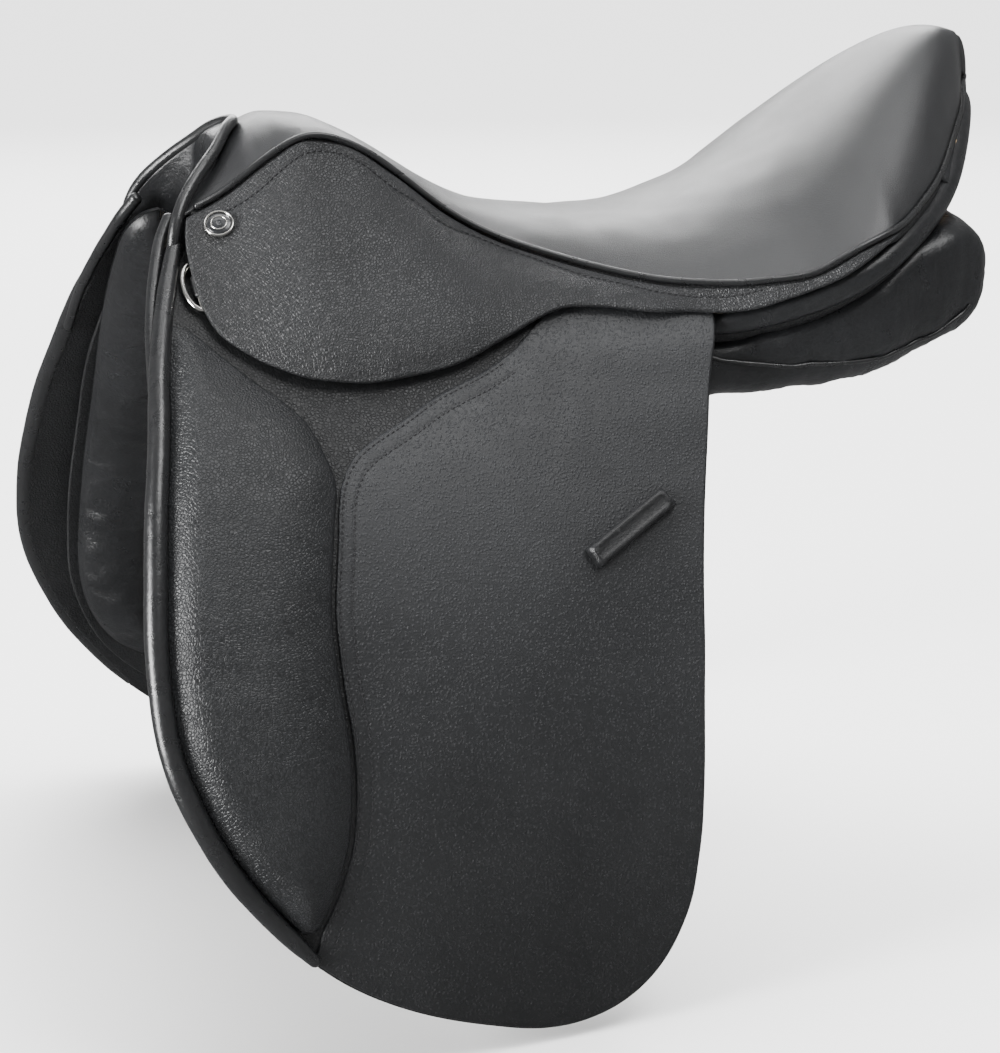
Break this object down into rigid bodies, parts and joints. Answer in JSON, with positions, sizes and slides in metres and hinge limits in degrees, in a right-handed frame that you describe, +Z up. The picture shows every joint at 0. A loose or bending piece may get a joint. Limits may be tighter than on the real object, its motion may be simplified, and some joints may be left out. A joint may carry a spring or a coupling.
{
  "type": "english saddle",
  "caption": "Dressage-cut leather saddle with deep seat, long straight flaps with knee pads, lifting skirts, stirrup bars, panels and girth straps.",
  "frame": {"origin": "on the mid-plane, at the level the panels rest on, under the middle of the seat", "axes": "+X towards the cantle (rear), -Y towards the near (left) side, +Z up"},
  "size_m": [0.5501, 0.4894, 0.492],
  "materials": {
    "seat_leather": "smooth, satin",
    "grain_leather": "embossed grain, satin",
    "skirt_leather": "pebbled, satin",
    "pad_leather": "soft calf, satin",
    "roll_leather": "rolled edge, polished",
    "panel_leather": "soft, glossy",
    "strap_leather": "smooth, satin",
    "beech": "varnished laminate",
    "steel": "satin",
    "bright_metal": "polished nickel",
    "web": "woven tape",
    "foam": "latex foam"
  },
  "bodies": {
    "root": {"tree": "beech", "head_plate": "steel", "tree_rivets": "steel", "gullet_plate": "steel", "gullet_lining": "panel_leather", "head_binding": "roll_leather", "catch_pins": "steel", "stirrup_bar_rivets": "steel", "seat_cover": "seat_leather", "seat_foam": "foam", "seat_webbing": "web", "cantle_facing": "skirt_leather", "flap_top_left": "grain_leather", "flap_top_right": "grain_leather", "knee_pad_top_left": "pad_leather", "knee_pad_top_right": "pad_leather", "flap_piping_top_left": "roll_leather", "flap_piping_top_right": "roll_leather", "sweat_flap_left": "panel_leather", "sweat_flap_right": "panel_leather", "girth_web_left": "web", "girth_web_right": "web", "panel_left": "panel_leather", "panel_right": "panel_leather", "panel_knee_roll_left": "panel_leather", "panel_knee_roll_right": "panel_leather", "rear_facing_left": "roll_leather", "rear_facing_right": "roll_leather", "tree_spring_left": "steel", "tree_spring_right": "steel", "stirrup_bar_left": "steel", "stirrup_bar_right": "steel", "point_pocket_left": "strap_leather", "point_pocket_right": "strap_leather", "seat_welt_left": "roll_leather", "seat_welt_right": "roll_leather", "skirt_left": "skirt_leather", "skirt_right": "skirt_leather", "skirt_stud_left": "bright_metal", "skirt_stud_right": "bright_metal", "dee_tab_left": "strap_leather", "dee_tab_right": "strap_leather"},
    "flap_left": {"flap_left": "grain_leather", "knee_pad_left": "pad_leather", "flap_piping_left": "roll_leather", "stirrup_leather_keeper_left": "strap_leather"},
    "skirt_lobe_left": {"skirt_lobe_left": "skirt_leather"},
    "bar_catch_left": {"bar_catch_left": "steel"},
    "dee_ring_left": {"dee_ring_left": "bright_metal"},
    "front_girth_strap_left": {"front_girth_strap_left": "strap_leather"},
    "rear_girth_strap_left": {"rear_girth_strap_left": "strap_leather"},
    "flap_right": {"flap_right": "grain_leather", "knee_pad_right": "pad_leather", "flap_piping_right": "roll_leather", "stirrup_leather_keeper_right": "strap_leather"},
    "skirt_lobe_right": {"skirt_lobe_right": "skirt_leather"},
    "bar_catch_right": {"bar_catch_right": "steel"},
    "dee_ring_right": {"dee_ring_right": "bright_metal"},
    "front_girth_strap_right": {"front_girth_strap_right": "strap_leather"},
    "rear_girth_strap_right": {"rear_girth_strap_right": "strap_leather"}
  },
  "joints": [
    {"name": "flap_left_lift", "type": "hinge", "parent": "root", "child": "flap_left", "pos_m": [-0.257, -0.15555, 0.022], "axis": [-0.9962, -0.0598, -0.0635], "range_deg": [0, 85]},
    {"name": "skirt_left_lift", "type": "hinge", "parent": "root", "child": "skirt_lobe_left", "pos_m": [-0.222, -0.09891, 0.092], "axis": [-0.9929, 0.0993, 0.0656], "range_deg": [0, 55]},
    {"name": "catch_left_turn", "type": "hinge", "parent": "root", "child": "bar_catch_left", "pos_m": [-0.093, -0.097, 0.079], "axis": [0, -1, 0], "range_deg": [0, 30]},
    {"name": "dee_ring_left_swing", "type": "hinge", "parent": "root", "child": "dee_ring_left", "pos_m": [-0.2252, -0.07269, 0.09586], "axis": [-0.0334, 0.7295, 0.6831], "range_deg": [0, 80]},
    {"name": "front_strap_left_swing", "type": "hinge", "parent": "root", "child": "front_girth_strap_left", "pos_m": [-0.076, -0.14, 0.012], "axis": [0, 1, 0], "range_deg": [-6, 6]},
    {"name": "rear_strap_left_swing", "type": "hinge", "parent": "root", "child": "rear_girth_strap_left", "pos_m": [-0.02, -0.14, 0.012], "axis": [0, 1, 0], "range_deg": [-6, 6]},
    {"name": "flap_right_lift", "type": "hinge", "parent": "root", "child": "flap_right", "pos_m": [-0.257, 0.15555, 0.022], "axis": [0.9962, -0.0598, 0.0635], "range_deg": [0, 85]},
    {"name": "skirt_right_lift", "type": "hinge", "parent": "root", "child": "skirt_lobe_right", "pos_m": [-0.222, 0.09891, 0.092], "axis": [0.9929, 0.0993, -0.0656], "range_deg": [0, 55]},
    {"name": "catch_right_turn", "type": "hinge", "parent": "root", "child": "bar_catch_right", "pos_m": [-0.093, 0.097, 0.079], "axis": [0, -1, 0], "range_deg": [0, 30]},
    {"name": "dee_ring_right_swing", "type": "hinge", "parent": "root", "child": "dee_ring_right", "pos_m": [-0.2252, 0.07269, 0.09586], "axis": [0.0334, 0.7295, -0.6831], "range_deg": [0, 80]},
    {"name": "front_strap_right_swing", "type": "hinge", "parent": "root", "child": "front_girth_strap_right", "pos_m": [-0.076, 0.14, 0.012], "axis": [0, 1, 0], "range_deg": [-6, 6]},
    {"name": "rear_strap_right_swing", "type": "hinge", "parent": "root", "child": "rear_girth_strap_right", "pos_m": [-0.02, 0.14, 0.012], "axis": [0, 1, 0], "range_deg": [-6, 6]}
  ]
}
